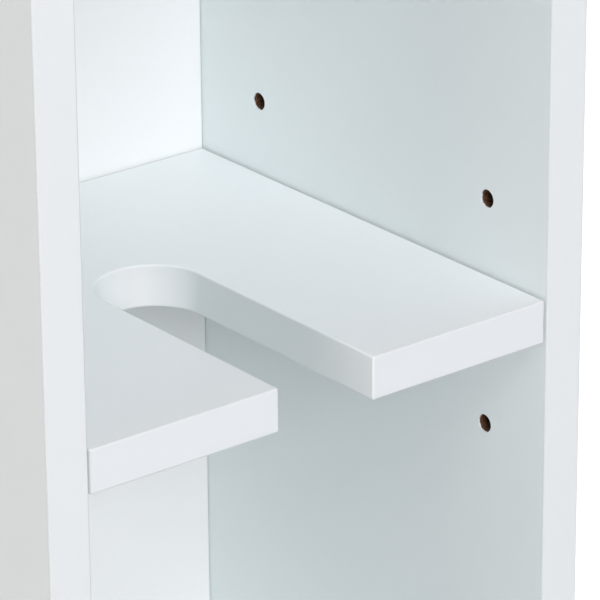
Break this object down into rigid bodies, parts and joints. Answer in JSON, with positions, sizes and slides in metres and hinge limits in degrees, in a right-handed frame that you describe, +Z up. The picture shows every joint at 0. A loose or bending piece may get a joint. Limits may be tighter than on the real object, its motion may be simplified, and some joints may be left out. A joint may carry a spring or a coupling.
{
  "type": "slim storage trolley",
  "caption": "Slim open-fronted bathroom tower of painted board on swivel castors, with a slotted shelf that holds a toilet brush by its handle.",
  "frame": {"origin": "on the floor, below the middle of the tower's outline", "axes": "+Z up, +Y towards the back board, so the open front faces -Y, and +X to the right of someone who faces the open front"},
  "size_m": [0.17, 0.158, 0.74],
  "materials": {
    "board_paint": "white satin paint on fibreboard",
    "pin_metal": "nickel plated",
    "cam_zinc": "cast zinc",
    "bolt_steel": "zinc plated",
    "dowel_wood": "plain beech",
    "screw_steel": "zinc plated",
    "ring_steel": "spring steel",
    "plate_steel": "zinc plated",
    "stem_steel": "turned",
    "hood_plastic": "moulded",
    "axle_steel": "turned",
    "wheel_plastic": "moulded",
    "lever_plastic": "moulded"
  },
  "bodies": {
    "tower": {"left_side_panel": "board_paint", "right_side_panel": "board_paint", "back_panel": "board_paint", "bottom_panel": "board_paint", "fixed_shelf": "board_paint", "top_panel": "board_paint", "shelf_pins": "pin_metal", "cam_locks": "cam_zinc", "cam_bolts": "bolt_steel", "dowels": "dowel_wood", "back_screws": "screw_steel", "castor_screws": "screw_steel", "stem_rings": "ring_steel", "castor_plate_front_left": "plate_steel", "castor_stem_front_left": "stem_steel", "castor_plate_front_right": "plate_steel", "castor_stem_front_right": "stem_steel", "castor_plate_rear_left": "plate_steel", "castor_stem_rear_left": "stem_steel", "castor_plate_rear_right": "plate_steel", "castor_stem_rear_right": "stem_steel"},
    "brush_shelf": {"brush_shelf": "board_paint"},
    "castor_front_left": {"castor_hood_front_left": "hood_plastic", "castor_axle_front_left": "axle_steel", "brake_pin_front_left": "axle_steel"},
    "left_wheel_front_left": {"left_wheel_front_left": "wheel_plastic"},
    "right_wheel_front_left": {"right_wheel_front_left": "wheel_plastic"},
    "brake_lever_front_left": {"brake_lever_front_left": "lever_plastic"},
    "castor_front_right": {"castor_hood_front_right": "hood_plastic", "castor_axle_front_right": "axle_steel", "brake_pin_front_right": "axle_steel"},
    "left_wheel_front_right": {"left_wheel_front_right": "wheel_plastic"},
    "right_wheel_front_right": {"right_wheel_front_right": "wheel_plastic"},
    "brake_lever_front_right": {"brake_lever_front_right": "lever_plastic"},
    "castor_rear_left": {"castor_hood_rear_left": "hood_plastic", "castor_axle_rear_left": "axle_steel"},
    "left_wheel_rear_left": {"left_wheel_rear_left": "wheel_plastic"},
    "right_wheel_rear_left": {"right_wheel_rear_left": "wheel_plastic"},
    "castor_rear_right": {"castor_hood_rear_right": "hood_plastic", "castor_axle_rear_right": "axle_steel"},
    "left_wheel_rear_right": {"left_wheel_rear_right": "wheel_plastic"},
    "right_wheel_rear_right": {"right_wheel_rear_right": "wheel_plastic"}
  },
  "joints": [
    {"name": "castor_swivel_front_left", "type": "hinge", "parent": "tower", "child": "castor_front_left", "pos_m": [-0.05, -0.044, 0.03], "axis": [0, 0, 1], "continuous": true},
    {"name": "left_wheel_spin_front_left", "type": "hinge", "parent": "castor_front_left", "child": "left_wheel_front_left", "pos_m": [-0.05, -0.033, 0.015], "axis": [1, 0, 0], "continuous": true},
    {"name": "right_wheel_spin_front_left", "type": "hinge", "parent": "castor_front_left", "child": "right_wheel_front_left", "pos_m": [-0.05, -0.033, 0.015], "axis": [1, 0, 0], "continuous": true},
    {"name": "brake_press_front_left", "type": "hinge", "parent": "castor_front_left", "child": "brake_lever_front_left", "pos_m": [-0.05, -0.02441, 0.03116], "axis": [-1, 0, 0], "range_deg": [0, 7]},
    {"name": "castor_swivel_front_right", "type": "hinge", "parent": "tower", "child": "castor_front_right", "pos_m": [0.05, -0.044, 0.03], "axis": [0, 0, 1], "continuous": true},
    {"name": "left_wheel_spin_front_right", "type": "hinge", "parent": "castor_front_right", "child": "left_wheel_front_right", "pos_m": [0.05, -0.033, 0.015], "axis": [1, 0, 0], "continuous": true},
    {"name": "right_wheel_spin_front_right", "type": "hinge", "parent": "castor_front_right", "child": "right_wheel_front_right", "pos_m": [0.05, -0.033, 0.015], "axis": [1, 0, 0], "continuous": true},
    {"name": "brake_press_front_right", "type": "hinge", "parent": "castor_front_right", "child": "brake_lever_front_right", "pos_m": [0.05, -0.02441, 0.03116], "axis": [-1, 0, 0], "range_deg": [0, 7]},
    {"name": "castor_swivel_rear_left", "type": "hinge", "parent": "tower", "child": "castor_rear_left", "pos_m": [-0.05, 0.044, 0.03], "axis": [0, 0, 1], "continuous": true},
    {"name": "left_wheel_spin_rear_left", "type": "hinge", "parent": "castor_rear_left", "child": "left_wheel_rear_left", "pos_m": [-0.05, 0.055, 0.015], "axis": [1, 0, 0], "continuous": true},
    {"name": "right_wheel_spin_rear_left", "type": "hinge", "parent": "castor_rear_left", "child": "right_wheel_rear_left", "pos_m": [-0.05, 0.055, 0.015], "axis": [1, 0, 0], "continuous": true},
    {"name": "castor_swivel_rear_right", "type": "hinge", "parent": "tower", "child": "castor_rear_right", "pos_m": [0.05, 0.044, 0.03], "axis": [0, 0, 1], "continuous": true},
    {"name": "left_wheel_spin_rear_right", "type": "hinge", "parent": "castor_rear_right", "child": "left_wheel_rear_right", "pos_m": [0.05, 0.055, 0.015], "axis": [1, 0, 0], "continuous": true},
    {"name": "right_wheel_spin_rear_right", "type": "hinge", "parent": "castor_rear_right", "child": "right_wheel_rear_right", "pos_m": [0.05, 0.055, 0.015], "axis": [1, 0, 0], "continuous": true},
    {"name": "brush_shelf_lift", "type": "slide", "parent": "tower", "child": "brush_shelf", "axis": [0, 0, 1], "range_m": [0, 0.06]}
  ]
}
